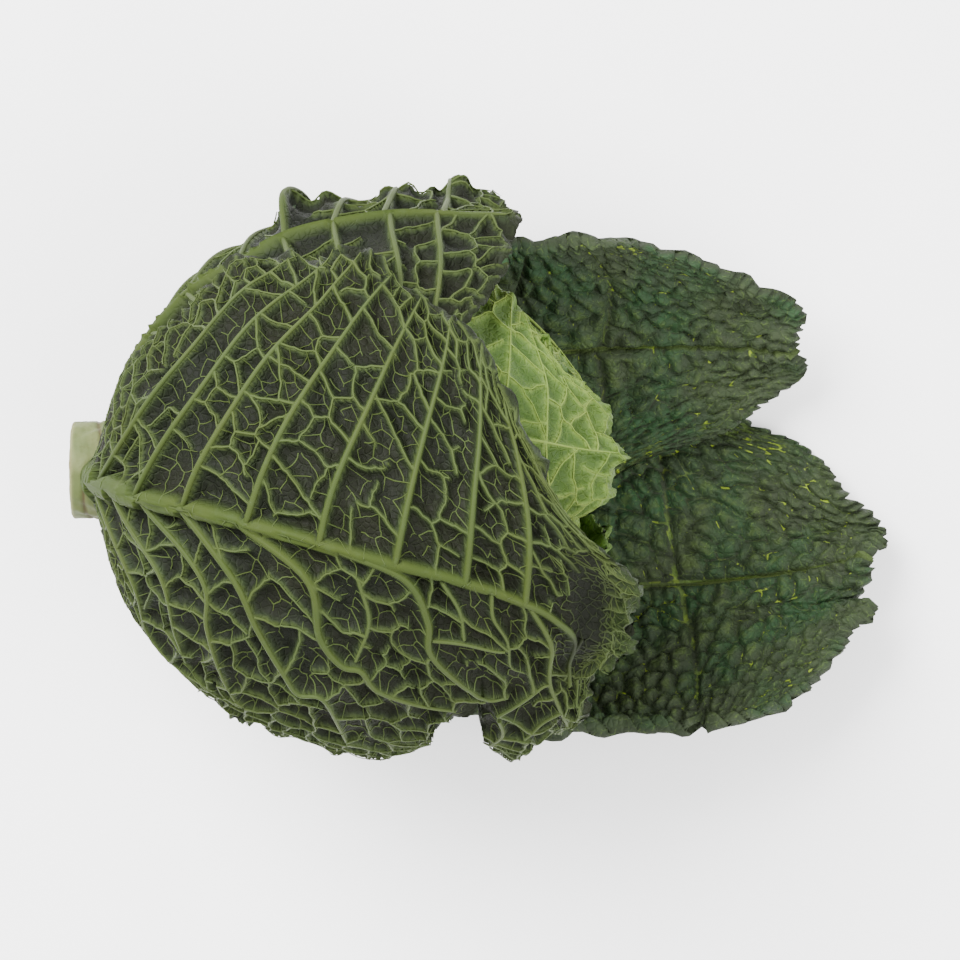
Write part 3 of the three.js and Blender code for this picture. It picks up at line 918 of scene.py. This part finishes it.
# Round ribs swept along the vein lines.
def veinTree():
    tree = bpy.data.node_groups.new("raisedVeins", "GeometryNodeTree")
    face = tree.interface
    face.new_socket("Geometry", in_out="INPUT", socket_type="NodeSocketGeometry")
    sides = face.new_socket("Sides", in_out="INPUT", socket_type="NodeSocketInt")
    finish = face.new_socket("Finish", in_out="INPUT", socket_type="NodeSocketMaterial")
    face.new_socket("Geometry", in_out="OUTPUT", socket_type="NodeSocketGeometry")
    lines, count, material = makeNode(tree, "NodeGroupInput")[:3]
    girth = makeNode(tree, "GeometryNodeInputNamedAttribute", {"data_type": "FLOAT"}, {"Name": "girth"})[0]
    curve = makeNode(tree, "GeometryNodeMeshToCurve", {}, {"Mesh": lines})[0]
    circle = makeNode(tree, "GeometryNodeCurvePrimitiveCircle", {}, {"Resolution": count, "Radius": 1})[0]
    swept = makeNode(tree, "GeometryNodeCurveToMesh", {}, {
        "Curve": curve, "Profile Curve": circle, "Scale": girth, "Fill Caps": True})[0]
    smooth = makeNode(tree, "GeometryNodeSetShadeSmooth", {}, {"Geometry": swept})[0]
    real = makeNode(tree, "GeometryNodeRealizeInstances", {}, {"Geometry": smooth})[0]
    painted = makeNode(tree, "GeometryNodeSetMaterial", {}, {"Geometry": real, "Material": material})[0]
    makeNode(tree, "NodeGroupOutput", {}, {"Geometry": painted})
    return tree, sides.identifier, finish.identifier


sweepTree, sidesInput, finishInput = veinTree()


def sweepVeins(name, veins, sides, material):
    points, edges, girth, tone, shade = [], [], [], [], []
    for vein in veins:
        start = len(points)
        points.extend(vein["place"].tolist())
        edges.extend((start + i, start + i + 1) for i in range(len(vein["place"]) - 1))
        girth.extend((vein["radius"] * mm).tolist())
        tone.extend(ribTone(vein["radius"]).tolist())
        shade.extend(vein["shade"].tolist())
    mesh = bpy.data.meshes.new(name + "_lines")
    mesh.from_pydata((np.array(points) * mm).tolist(), edges, [])
    addAttribute(mesh, "girth", girth)
    addAttribute(mesh, "tone", tone)
    addAttribute(mesh, "shade", shade)
    lines = newObject(name + "_lines", mesh, [])
    modifier = lines.modifiers.new("sweep", "NODES")
    modifier.node_group = sweepTree
    modifier[sidesInput] = sides
    modifier[finishInput] = material
    bpy.context.view_layer.update()
    swept = bpy.data.meshes.new_from_object(lines.evaluated_get(bpy.context.evaluated_depsgraph_get()))
    bpy.data.objects.remove(lines)
    swept.name = name
    if not swept.materials:
        swept.materials.append(material)
    made = newObject(name, swept, [])
    print(name, "triangles:", sum(len(p.vertices) - 2 for p in swept.polygons))
    return made


veinSets = [  # ranks, sides of the rib's section, name
    ((0, 1), 7, "main_veins"),
    ((2,), 5, "net_veins"),
    ((3,), 4, "fine_veins"),
]


# The tops of the ribs: where a rib is very stout its top sinks into the blade, which is shaped to it there.
def raiseVeins(leaf):
    made = []
    for ranks, sides, label in veinSets:
        sides = max(4, sides - 2) if leaf["step"] > 1 else sides
        chosen = [v for v in leaf["veins"] if v["rank"] in ranks and v["line"][-1][1] > leaf["shownFrom"]]
        if not chosen:
            continue
        middle, side, along, radius = (
            np.concatenate([v[name] for v in chosen]) for name in ("middle", "side", "along", "radius"))
        around = relief(leaf, middle, side, along)
        gap = np.concatenate([v["gap"] for v in chosen])
        blade = bladeHalf - around["sunk"]
        stout = smoothstep(1, 1.8, radius)
        slim = radius * (1 - 0.7 * stout)
        height = blade + ribHeight(radius) - 0.62 * slim - 0.5 * stout
        if ranks == (3,):
            height = blade + around["ribs"] + 0.15 * radius
        place = middle + np.concatenate([v["outwards"] for v in chosen]) * height[:, None]
        bare = marginReach["bareBeaded"] if leaf["beaded"] else marginReach["bare"]
        bare = np.where(within(leaf["rim"], side, along) > 0.3, marginReach["bareInRim"], bare)
        shown = (gap > bare) & (place[:, 2] > slim + 0.05)
        shade = within(leaf["shadedHollow"], side, along)
        pieces = []
        ends = np.cumsum([0] + [len(v["middle"]) for v in chosen])
        for start, end in zip(ends[:-1], ends[1:]):
            seen = np.flatnonzero(shown[start:end])
            for run in np.split(seen, np.where(np.diff(seen) > 1)[0] + 1):
                if len(run) > 1:
                    own = start + run
                    pieces.append({"place": place[own], "radius": slim[own], "shade": shade[own]})
        made.append(sweepVeins(leaf["name"] + "_" + label, pieces, sides, leaf["veinMaterial"]))
    return made


# A Mix node's factor and its two colours are its inputs 0, 6 and 7.
def blend(tree, amount, low, high):
    return makeNode(tree, "ShaderNodeMix", {"data_type": "RGBA"}, {0: amount, 6: low, 7: high})[0]


def newMaterial(name):
    material = bpy.data.materials.new(name)
    material.use_nodes = True
    tree = material.node_tree
    tree.nodes.clear()
    return material, tree


def closeMaterial(tree, colour, roughness, bumps, constants):
    normal = None
    for height, strength, distance in bumps:
        inputs = {"Height": height, "Strength": strength, "Distance": distance * mm}
        if normal is not None:
            inputs["Normal"] = normal
        normal = makeNode(tree, "ShaderNodeBump", {}, inputs)[0]
    inputs = {"Base Color": colour, "Roughness": roughness}
    if normal is not None:
        inputs["Normal"] = normal
    inputs.update(constants)
    shader = makeNode(tree, "ShaderNodeBsdfPrincipled", {}, inputs)[0]
    makeNode(tree, "ShaderNodeOutputMaterial", {}, {"Surface": shader})


def attribute(tree, name):
    return next(w for w in makeNode(tree, "ShaderNodeAttribute", {"attribute_name": name})
                if w.socket.name == "Fac")


def objectPlace(tree):
    return next(w for w in makeNode(tree, "ShaderNodeTexCoord") if w.socket.name == "Object")


def noise(tree, place, size, detail=3, rough=0.55):
    return makeNode(tree, "ShaderNodeTexNoise", {}, {
        "Vector": place, "Scale": 1 / (size * mm), "Detail": detail, "Roughness": rough})[0]


def meshEdges(tree, place, size):
    return makeNode(tree, "ShaderNodeTexVoronoi", {"feature": "DISTANCE_TO_EDGE"}, {
        "Vector": place, "Scale": 1 / (size * mm)})[0]


def srgb(r, g, b):
    linear = [(c / 255 / 12.92) if c <= 10 else ((c / 255 + 0.055) / 1.055) ** 2.4 for c in (r, g, b)]
    return (*linear, 1)


# The colour of the ribs, which the blade has beside them too.
def ribColour(tree, look, tone, place):
    patches = noise(tree, place, 18, 2).between(0.35, 0.65)
    streaks = noise(tree, place, 2.2, 3)
    colour = blend(tree, tone, look["thin"], look["thick"])
    colour = blend(tree, patches * 0.4, colour, look["thickWarm"])
    return blend(tree, streaks.between(0.5, 0.8) * look["ribBloom"], colour, look["bloom"])


# The netted underside of a leaf: dark meshes deepened with painted shade, paler by the veins, with a waxy
# bloom.
def outerFinish(name, look):
    material, tree = newMaterial(name)
    place = objectPlace(tree)
    rib, tone, beside = attribute(tree, "rib"), attribute(tree, "tone"), attribute(tree, "beside")
    dome, margin = attribute(tree, "dome"), attribute(tree, "margin")
    patches = noise(tree, place, 30, 2).between(0.35, 0.65)
    grain = noise(tree, place, 1.6, 4, 0.65)
    fine = meshEdges(tree, place, 2.1)
    # painted shade: the meshes' own dark green is deepened where they sink furthest, and gives way to the
    # lamina colour towards the ribs
    base = blend(tree, patches, look["darkPitAndShade"], look["darkPitAndShadeWarm"])
    base = blend(tree, (1 - dome.between(0.1, 0.8)) * 0.8, base, look["lamina"])
    threads = (1 - fine.between(0.02, 0.13)) * grain.between(0.3, 0.7)
    base = blend(tree, (threads * look["threads"] + margin * 0.25).clamped(), base, look["thread"])
    base = blend(tree, attribute(tree, "rim") * (1 - fine.between(0.04, 0.3) * 0.6), base, look["rim"])
    bloom = noise(tree, place, 6, 3).between(0.52, 0.75) * beside
    base = blend(tree, bloom * look["bloomShare"], base, look["bloom"])
    base = blend(tree, beside * 0.3, base, look["nearVein"])
    base = blend(tree, rib, base, ribColour(tree, look, tone, place))
    # painted shade over the hollow
    base = blend(tree, attribute(tree, "shade") * 0.9, base, look["shadedHollow"])
    roughness = 0.5 + grain * 0.2
    offRib = 1 - rib
    bumps = [(fine.between(0, 0.2) * offRib, 0.5, 0.5), (grain * offRib, 0.35, 0.4)]
    closeMaterial(tree, base, roughness, bumps, {"Specular IOR Level": look["gloss"]})
    return material


# The upper face: every mesh is a blister, and the veins lie in the grooves between them.
# Painted shade darkens the grooves and fine creases, and a painted highlight lightens the blisters' tops.
def innerFinish(name, look):
    material, tree = newMaterial(name)
    place = objectPlace(tree)
    rib, dome, midrib = attribute(tree, "rib"), attribute(tree, "dome"), attribute(tree, "midrib")
    patches = noise(tree, place, 26, 2).between(0.35, 0.65)
    grain = noise(tree, place, 1.4, 4, 0.65)
    fine = meshEdges(tree, place, 2.4)
    base = blend(tree, patches, look["blister"], look["blisterCool"])
    base = blend(tree, noise(tree, place, 8, 3).between(0.42, 0.66) * 0.6, base, look["blisterDark"])
    # painted shade in the fine creases
    base = blend(tree, (1 - fine.between(0.02, 0.18)) * 0.4, base, look["fineGrooveShade"])
    # painted highlight on the blisters' tops
    highlightMask = dome.between(0.8, 1) * noise(tree, place, 3.4, 2).between(0.42, 0.62)
    base = blend(tree, highlightMask * 0.5, base, look["paintedHighlight"])
    # painted shade in the grooves beside the veins
    base = blend(tree, 1 - dome.between(0, 0.45), base, look["grooveShade"])
    threads = (1 - meshEdges(tree, place, 3.3).between(0, 0.06)) * grain.between(0.45, 0.65)
    base = blend(tree, threads * 0.4, base, look["thread"])
    base = blend(tree, midrib.between(0.25, 0.6) * 0.55, base, look["midrib"])
    lines = rib.between(0.65, 1) * noise(tree, place, 17, 2).between(0.46, 0.6)
    base = blend(tree, lines * 0.6, base, look["thread"])
    glimpse = noise(tree, place, 4, 2).between(look["glimpseFrom"], look["glimpseFrom"] + 0.07)
    glimpse = glimpse * (1 - attribute(tree, "tone").between(0.12, 0.3) * 0.8)
    base = blend(tree, rib.between(0.68, 0.98) * glimpse, base, look["vein"])
    roughness = 0.42 + grain * 0.22
    bumps = [(fine.between(0, 0.22), 0.4, 0.5), (grain, 0.3, 0.3)]
    closeMaterial(tree, base, roughness, bumps, {"Specular IOR Level": look["gloss"]})
    return material


def veinFinish(name, look):
    material, tree = newMaterial(name)
    place = objectPlace(tree)
    streaks = noise(tree, place, 2.2, 3)
    base = ribColour(tree, look, attribute(tree, "tone"), place)
    # painted shade on the veins in the hollow
    base = blend(tree, attribute(tree, "shade") * 0.85, base, look["shadedHollow"])
    closeMaterial(tree, base, 0.52 + streaks * 0.15, [(streaks, 0.2, 0.3)], {"Specular IOR Level": 0.09})
    return material


# The colours of the pits' bottoms are the leaf's own dark green deepened with painted shade; the hollow's
# colour is painted shade.
outerLook = {
    "shadedHollow": srgb(15, 17, 11), "darkPitAndShade": srgb(18, 20, 15), "darkPitAndShadeWarm": srgb(21, 22, 15),
    "lamina": srgb(25, 31, 19), "thread": srgb(32, 39, 22), "threads": 0.3, "nearVein": srgb(33, 44, 20),
    "rim": srgb(36, 47, 23),
    "bloom": srgb(58, 71, 48), "bloomShare": 0.35, "gloss": 0.06,
    "thin": srgb(54, 65, 34), "thick": srgb(44, 55, 22), "thickWarm": srgb(51, 59, 23), "ribBloom": 0.2,
}
# The grooves' colours are painted shade; the colour of the blisters' tops is a painted highlight.
innerLook = {
    "blister": srgb(43, 51, 34), "blisterCool": srgb(33, 54, 33), "blisterDark": srgb(34, 38, 29),
    "grooveShade": srgb(39, 45, 33), "fineGrooveShade": srgb(34, 43, 28), "vein": srgb(120, 140, 36),
    "glimpseFrom": 0.565, "gloss": 0.06, "paintedHighlight": srgb(53, 66, 33), "thread": srgb(76, 96, 42),
    "midrib": srgb(62, 76, 36),
}
# The crown leaves' pit colours are likewise their own green deepened with painted shade.
crownOuterLook = dict(outerLook, darkPitAndShade=srgb(44, 66, 20), darkPitAndShadeWarm=srgb(52, 72, 22), lamina=srgb(62, 86, 28),
                      thread=srgb(78, 98, 38), nearVein=srgb(86, 106, 40), bloom=srgb(92, 108, 66),
                      thin=srgb(86, 106, 44), thick=srgb(110, 126, 66), thickWarm=srgb(106, 118, 56),
                      gloss=0.2)
# The crown leaves' groove colours are likewise painted shade, and their tops' colour a painted highlight.
crownInnerLook = dict(innerLook, blister=srgb(58, 84, 24), blisterCool=srgb(50, 76, 24),
                      blisterDark=srgb(42, 66, 20), grooveShade=srgb(28, 46, 14), fineGrooveShade=srgb(44, 68, 20),
                      vein=srgb(104, 116, 52), paintedHighlight=srgb(72, 98, 34), thread=srgb(96, 116, 50),
                      midrib=srgb(104, 118, 60), gloss=0.2)


# The finishes of a leaf's two faces, and of its raised veins.
def leafFinishes(kind, underside, upperFace):
    faces = [outerFinish(kind + "Underside", underside), innerFinish(kind + "UpperFace", upperFace)]
    return faces, veinFinish(kind + "Veins", underside)


finishes = {
    "outer": leafFinishes("leaf", outerLook, innerLook),
    "crown": leafFinishes("crown", crownOuterLook, crownInnerLook),
}
print("materials made")


for leaf in leaves:
    leaf["materials"], leaf["veinMaterial"] = finishes[leaf["kind"]]
    flatten(leaf)
    growVeins(leaf)
    prepareRelief(leaf)
    blade = buildBlade(leaf)
    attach(blade, "root")
    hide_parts(leaf["name"])
    for rib in raiseVeins(leaf):
        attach(rib, "root")


# The tightest leaves never part: one ball, with their folds raised on it.
heart = {
    "radius": head["radius"] - len(leaves) * head["layerPitch"] - head["blade"],
    "inset": 1.7,  # how far the ball is drawn in, to leave the folds room
    "fold": 1.6,  # height of the folds towards the crown
    "rings": 70,
    "sides": 110,
}


# A closed skin from rings of points about an axis, each ring a row, with a single point at each end.
def closedRings(name, first, rings, last):
    count, sides = rings.shape[:2]
    points = np.vstack([[first], rings.reshape(-1, 3), [last]])
    index = 1 + np.arange(count * sides).reshape(count, sides)
    after = np.roll(index, -1, axis=1)
    quads = np.stack([index[:-1], after[:-1], after[1:], index[1:]], -1).reshape(-1, 4)
    ends = [(0, int(b), int(a)) for a, b in zip(index[0], after[0])]
    ends += [(len(points) - 1, int(a), int(b)) for a, b in zip(index[-1], after[-1])]
    faces = quads.tolist() + ends
    centre = points.mean(0)
    a, b, c = points[quads[:, 0]], points[quads[:, 1]], points[quads[:, 2]]
    outwards = np.sum(np.cross(b - a, c - a) * (a - centre), 1).sum()
    if outwards < 0:
        faces = [tuple(reversed(face)) for face in faces]
    return newMesh(name, points, faces)


def buildHeart():
    polar = np.linspace(0, 180, heart["rings"] + 2)[1:-1, None]
    azimuth = np.linspace(0, 360, heart["sides"], endpoint=False)[None, :]

    def surface(polar, azimuth):
        nearCrown = smoothstep(70, 140, polar) * (1 - smoothstep(168, 180, polar))
        wrapped = 3 * azimuth + 4 * polar
        fold = heart["fold"] * nearCrown * (np.sin(wrapped * degree) + 0.25 * np.sin(2 * wrapped * degree))
        blister = 0.35 * np.sin(15 * azimuth * degree) * np.sin(polar * 0.28) * np.sin(polar * degree)
        distance = heart["radius"] * headShape(polar, azimuth) - heart["inset"] + fold + blister
        return pointAt(polar, azimuth, distance)

    rings = surface(*np.broadcast_arrays(polar, azimuth))
    ends = surface(np.array([0.0, 180.0]), np.array([0.0, 0.0]))
    mesh = closedRings("heart_ball", ends[0], rings, ends[1])
    made = newObject("heart_ball", mesh, [heartFinish()])
    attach(made, "root")
    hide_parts("heart")


def heartFinish():
    material, tree = newMaterial("heartLeaves")
    place = objectPlace(tree)
    grain = noise(tree, place, 2, 4, 0.65)
    veins = meshEdges(tree, place, 7)
    base = blend(tree, noise(tree, place, 24, 2).between(0.35, 0.65), srgb(70, 96, 32), srgb(84, 106, 42))
    base = blend(tree, (1 - veins.between(0.01, 0.1)) * 0.6, base, srgb(110, 122, 66))
    bumps = [(veins.between(0, 0.3), 0.4, 0.8)]
    closeMaterial(tree, base, 0.4 + grain * 0.2, bumps, {"Specular IOR Level": 0.4})
    return material


# The stump: the cut face with its woody ring, a rounded edge, and a rind with the scars of cast leaves.
stalk = {
    "radius": head["stalkRadius"],
    "cut": -91,  # where it is cut off, along X
    "inner": stalkHigh.x / mm,
    "edge": 1.3,  # radius of the cut's rounded edge
    "sides": 128,
    "scars": ((-86.5, 40), (-84, 175), (-82.5, 285), (-79.5, 110)),  # distance along X, azimuth
    "scarReach": 52,  # degrees each way
}


def buildStalk():
    edge, radius = stalk["edge"], stalk["radius"]
    quarter = np.linspace(0, math.pi / 2, 7)[1:]
    face = np.linspace(0.4, radius - edge, 26)
    rind = np.linspace(stalk["cut"] + edge, stalk["inner"], 60)[1:]
    narrowing = np.interp(rind, [stalk["cut"], stalk["inner"] - 20, stalk["inner"] - 8, stalk["inner"]],
                          [radius, radius, radius - 0.6, radius - 3])
    back = np.linspace(radius - 3.4, 1, 6)
    across = np.concatenate([face, radius - edge + edge * np.sin(quarter), narrowing, back])
    dish = 0.45 * smoothstep(6, 3.5, face) - 0.25 * np.exp(-((face - 7.6) / 1.4) ** 2)
    rounded = stalk["cut"] + edge - edge * np.cos(quarter) + 0.3 * np.cos(quarter)
    along = np.concatenate([stalk["cut"] + 0.3 + dish, rounded, rind, np.full(6, stalk["inner"])])
    azimuth = np.linspace(0, 360, stalk["sides"], endpoint=False)
    x, turn = np.meshgrid(along, azimuth * degree, indexing="ij")
    r = np.repeat(across[:, None], len(azimuth), 1)
    onRind = smoothstep(radius - edge - 1, radius, r) * smoothstep(stalk["inner"], stalk["inner"] - 6, x)
    scar = np.zeros_like(x)
    for at, middle in stalk["scars"]:
        off = (np.degrees(turn) - middle + 180) % 360 - 180
        curve = at + 3.2 * (off / stalk["scarReach"]) ** 2
        ends = smoothstep(stalk["scarReach"] + 8, stalk["scarReach"] - 8, np.abs(off))
        scar += np.exp(-((x - curve) / 0.55) ** 2) * ends
    y, z = np.cos(turn) * 14, np.sin(turn) * 14
    uneven = 0.3 * waver(x + 2 * y, z, 11, 5) + 0.14 * waver(y + x, z - x, 3.4, 6)
    r = r + onRind * (uneven - 0.2 - 0.5 * scar)
    fibres = (0.1 * np.sin(9 * turn) + 0.06 * np.sin(23 * turn + r)) * smoothstep(3, 8, r) * (1 - onRind)
    rings = np.stack([x + fibres, -r * np.sin(turn), headCentreZ + r * np.cos(turn)], -1)
    first = (along[0], 0, headCentreZ)
    mesh = closedRings("stalk_stump", first, rings, (stalk["inner"], 0, headCentreZ))
    padded = np.concatenate([[0], scar.reshape(-1), [0]])
    reach = np.concatenate([[0], r.reshape(-1), [0]])
    cutFace = 1 - smoothstep(stalk["cut"] + 0.6, stalk["cut"] + 1.6, x)
    onFace = np.concatenate([[1], cutFace.reshape(-1), [0]])
    addAttribute(mesh, "scar", padded)
    addAttribute(mesh, "reach", reach / radius)
    addAttribute(mesh, "cutFace", onFace)
    made = newObject("stalk_stump", mesh, [stalkFinish()])
    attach(made, "root")
    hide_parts("stalk")


def stalkFinish():
    material, tree = newMaterial("stalkRind")
    place = objectPlace(tree)
    reach, cutFace, scar = attribute(tree, "reach"), attribute(tree, "cutFace"), attribute(tree, "scar")
    grain = noise(tree, place, 1.2, 4, 0.6)
    patches = noise(tree, place, 9, 3)
    rind = blend(tree, patches.between(0.35, 0.65), srgb(70, 80, 42), srgb(86, 92, 54))
    rind = blend(tree, (scar + grain.between(0.55, 0.8) * 0.35).clamped(), rind, srgb(62, 54, 32))
    pith = blend(tree, grain, srgb(140, 138, 104), srgb(122, 120, 82))
    ring = reach.between(0.4, 0.5) * (1 - reach.between(0.56, 0.66))
    cut = blend(tree, ring * 0.8, pith, srgb(92, 86, 52))
    cut = blend(tree, reach.between(0.8, 0.95) * 0.7, cut, srgb(84, 88, 48))
    cut = blend(tree, patches.between(0.5, 0.72) * 0.45, cut, srgb(78, 58, 32))
    base = blend(tree, cutFace, rind, cut)
    closeMaterial(tree, base, 0.5 + grain * 0.25, [(grain, 0.3, 0.4)], {"Specular IOR Level": 0.2})
    return material


buildHeart()
buildStalk()
print("heart and stalk built")


studio = {
    "floorSize": 3.0,  # metres
    "floorColour": srgb(250, 250, 250),
    "floorShade": srgb(242, 242, 243),
    "key": ((-0.7, 0.7, 1.3), 1.1, 94),  # place and size in metres, watts
    "fill": ((0.9, -0.6, 1.1), 1.4, 32),
    "sky": 2.4,  # strength of the white surroundings
}


def addFloor():
    half = studio["floorSize"] / 2
    mesh = bpy.data.meshes.new("floor")
    corners = [(-half, -half, 0), (half, -half, 0), (half, half, 0), (-half, half, 0)]
    mesh.from_pydata(corners, [], [(0, 1, 2, 3)])
    material, tree = newMaterial("paleFloor")
    speckle = noise(tree, objectPlace(tree), 60, 2)
    tint = blend(tree, speckle, studio["floorColour"], studio["floorShade"])
    closeMaterial(tree, tint, 0.9 + speckle * 0.05, [], {"Specular IOR Level": 0.1})
    floor = newObject("floor", mesh, [material])


def addLight(name, place, size, power):
    light = bpy.data.lights.new(name, "AREA")
    light.shape = "DISK"
    light.size = size
    light.energy = power
    lamp = bpy.data.objects.new(name, light)
    bpy.context.scene.collection.objects.link(lamp)
    lamp.location = place
    aim = -lamp.location
    lamp.rotation_euler = aim.to_track_quat("-Z", "Y").to_euler()


def addCamera():
    data = bpy.data.cameras.new("camera")
    data.sensor_width = camera["sensor"]
    data.lens = camera["sensor"] * camera["above"] / camera["width"]
    eye = bpy.data.objects.new("camera", data)
    bpy.context.scene.collection.objects.link(eye)
    eye.location = [c * mm for c in (*camera["over"], camera["above"] + headCentreZ)]
    bpy.context.scene.camera = eye


def addSky():
    world = bpy.data.worlds.new("studio")
    world.use_nodes = True
    ground = world.node_tree.nodes["Background"]
    ground.inputs["Color"].default_value = (1, 1, 1, 1)
    ground.inputs["Strength"].default_value = studio["sky"]
    bpy.context.scene.world = world


addFloor()
addLight("key", *studio["key"])
addLight("fill", *studio["fill"])
addCamera()
addSky()
print("stage set")
